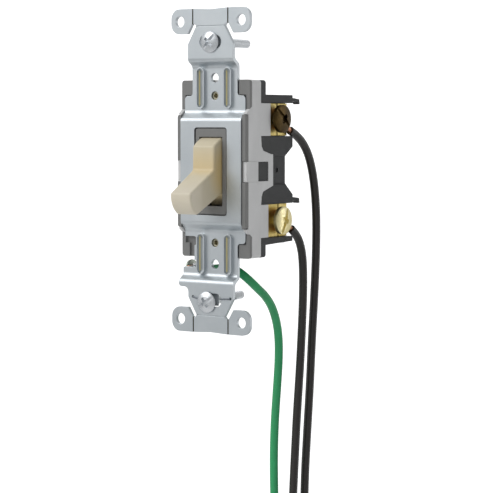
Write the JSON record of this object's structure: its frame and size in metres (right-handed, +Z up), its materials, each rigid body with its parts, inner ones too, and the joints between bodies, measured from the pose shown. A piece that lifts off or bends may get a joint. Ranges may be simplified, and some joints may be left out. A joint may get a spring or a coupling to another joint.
{
  "type": "toggle wall switch",
  "caption": "Strap-mounted toggle switch with a deep moulded body, side screw terminals and short factory leads.",
  "frame": {"origin": "centre between the plaster-ear holes, on the strap's back face, which is the wall box plane", "axes": "+X across the strap to the wired side, +Y into the wall box, +Z up; the toggle points along -Y"},
  "size_m": [0.0326, 0.0579, 0.22],
  "materials": {
    "zinc_strap": "zinc plated sheet steel, satin",
    "zinc_screw": "clear zinc plated, semi-gloss",
    "green_screw": "green dyed zinc plating",
    "fibre": "pressed grey fibre",
    "spring_steel": "drawn spring wire and pins",
    "rivet_steel": "plated tubular rivet",
    "mid_grey_plastic": "moulded thermoset, fine matt",
    "light_grey_plastic": "moulded thermoplastic, satin",
    "dark_base_plastic": "moulded thermoplastic, satin",
    "ivory_plastic": "moulded nylon, soft gloss",
    "contact_copper": "copper alloy strip",
    "silver_contact": "silver alloy",
    "brass_plate": "stamped brass",
    "dark_bronze_screw": "dark oxidised plating",
    "brass_screw": "bright brass plating",
    "bare_copper": "bare stranded copper",
    "black_insulation": "smooth nylon-jacketed insulation",
    "green_insulation": "smooth nylon-jacketed insulation",
    "stop_rubber": "moulded rubber"
  },
  "bodies": {
    "frame": {"fixed_contact": "silver_contact", "front_cover": "mid_grey_plastic", "ground_bare_end": "bare_copper", "ground_clip": "spring_steel", "ground_lead": "green_insulation", "ground_wire_loop": "bare_copper", "housing": "light_grey_plastic", "lower_bare_end": "bare_copper", "lower_lead": "black_insulation", "lower_terminal": "brass_plate", "lower_wire_loop": "bare_copper", "mounting_strap": "zinc_strap", "rear_base": "dark_base_plastic", "rocker_pin": "spring_steel", "screw_retainers": "fibre", "strap_rivets": "rivet_steel", "toggle_pin": "spring_steel", "toggle_stops": "stop_rubber", "upper_bare_end": "bare_copper", "upper_lead": "black_insulation", "upper_terminal": "brass_plate", "upper_wire_loop": "bare_copper"},
    "toggle": {"toggle": "ivory_plastic", "toggle_spring": "spring_steel", "spring_plunger": "dark_base_plastic"},
    "rocker": {"contact_rocker": "contact_copper", "moving_contact": "silver_contact"},
    "box_screw_upper": {"box_screw_upper": "zinc_screw"},
    "box_screw_lower": {"box_screw_lower": "zinc_screw"},
    "ground_screw": {"ground_screw": "green_screw"},
    "upper_terminal_screw": {"upper_terminal_screw": "dark_bronze_screw"},
    "lower_terminal_screw": {"lower_terminal_screw": "brass_screw"}
  },
  "joints": [
    {"name": "toggle_tilt", "type": "hinge", "parent": "frame", "child": "toggle", "pos_m": [0, 0.00315, 0], "axis": [-1, 0, 0], "range_deg": [0, 57], "deforming": ["toggle_spring"]},
    {"name": "rocker_tilt", "type": "hinge", "parent": "frame", "child": "rocker", "pos_m": [0, 0.0185, 0], "axis": [1, 0, 0], "range_deg": [0, 12]},
    {"name": "box_screw_upper_spin", "type": "hinge", "parent": "frame", "child": "box_screw_upper", "pos_m": [0, 0, 0.04165], "axis": [0, 1, 0], "continuous": true},
    {"name": "box_screw_lower_spin", "type": "hinge", "parent": "frame", "child": "box_screw_lower", "pos_m": [-0.00115, -0.003, -0.04245], "axis": [-0.0471, 0.9979, 0.0453], "continuous": true},
    {"name": "ground_screw_spin", "type": "hinge", "parent": "frame", "child": "ground_screw", "pos_m": [-0.013, 0.0086, -0.033], "axis": [1, 0, 0], "continuous": true},
    {"name": "upper_terminal_screw_spin", "type": "hinge", "parent": "frame", "child": "upper_terminal_screw", "pos_m": [0.013, 0.0182, 0.017], "axis": [1, 0, 0], "continuous": true},
    {"name": "lower_terminal_screw_spin", "type": "hinge", "parent": "frame", "child": "lower_terminal_screw", "pos_m": [0.013, 0.0188, -0.0162], "axis": [1, 0, 0], "continuous": true}
  ],
  "couplings": [
    {"joint": "rocker_tilt", "follows": "toggle_tilt", "ratio": 0.21053}
  ]
}
